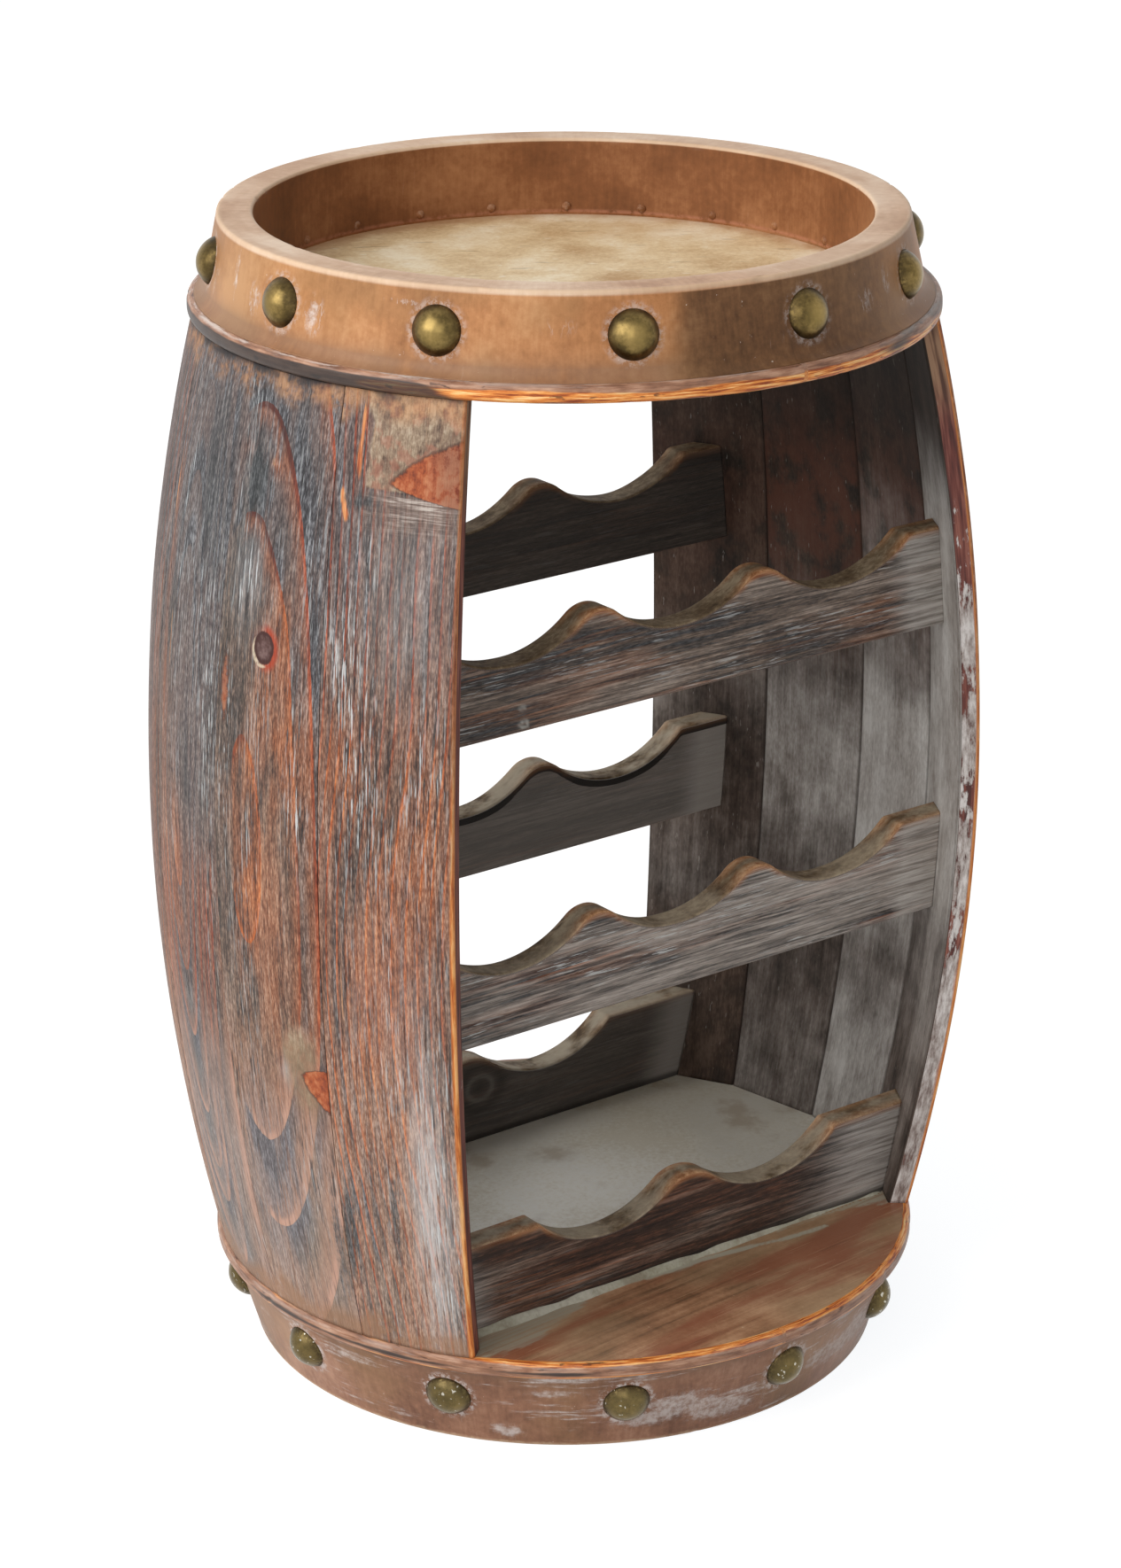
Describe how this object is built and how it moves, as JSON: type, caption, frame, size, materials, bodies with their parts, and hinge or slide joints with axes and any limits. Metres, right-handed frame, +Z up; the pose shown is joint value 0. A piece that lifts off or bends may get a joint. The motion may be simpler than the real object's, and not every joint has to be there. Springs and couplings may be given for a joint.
{
  "type": "barrel wine rack",
  "caption": "Barrel-shaped wooden wine rack: bulged stave sides, tiers of scalloped bottle rails, round tray top and brass-studded hoops.",
  "frame": {"origin": "on the floor, under the middle of the barrel", "axes": "+Z up, the front opening faces -Y, +X to the right seen from the front"},
  "size_m": [0.4, 0.3504, 0.5615],
  "materials": {
    "weathered_wood": "weathered, washed",
    "rail_wood": "weathered, greyed",
    "painted_wood": "worn copper paint",
    "stud_brass": "antique",
    "nail_steel": "dull"
  },
  "bodies": {
    "root": {"base_board": "painted_wood", "base_ring": "painted_wood", "base_ring_pins": "nail_steel", "base_stave_nails": "nail_steel", "base_studs": "stud_brass", "bottom_rail_back": "rail_wood", "bottom_rail_front": "rail_wood", "middle_rail_back": "rail_wood", "middle_rail_front": "rail_wood", "rail_nails": "nail_steel", "stave_left_1": "weathered_wood", "stave_left_2": "weathered_wood", "stave_left_3": "weathered_wood", "stave_left_4": "weathered_wood", "stave_right_1": "weathered_wood", "stave_right_2": "weathered_wood", "stave_right_3": "weathered_wood", "stave_right_4": "weathered_wood", "top_board": "painted_wood", "top_rail_back": "rail_wood", "top_rail_front": "rail_wood", "top_stave_nails": "nail_steel", "tray_ring": "painted_wood", "tray_ring_pins": "nail_steel", "tray_studs": "stud_brass"}
  },
  "joints": []
}
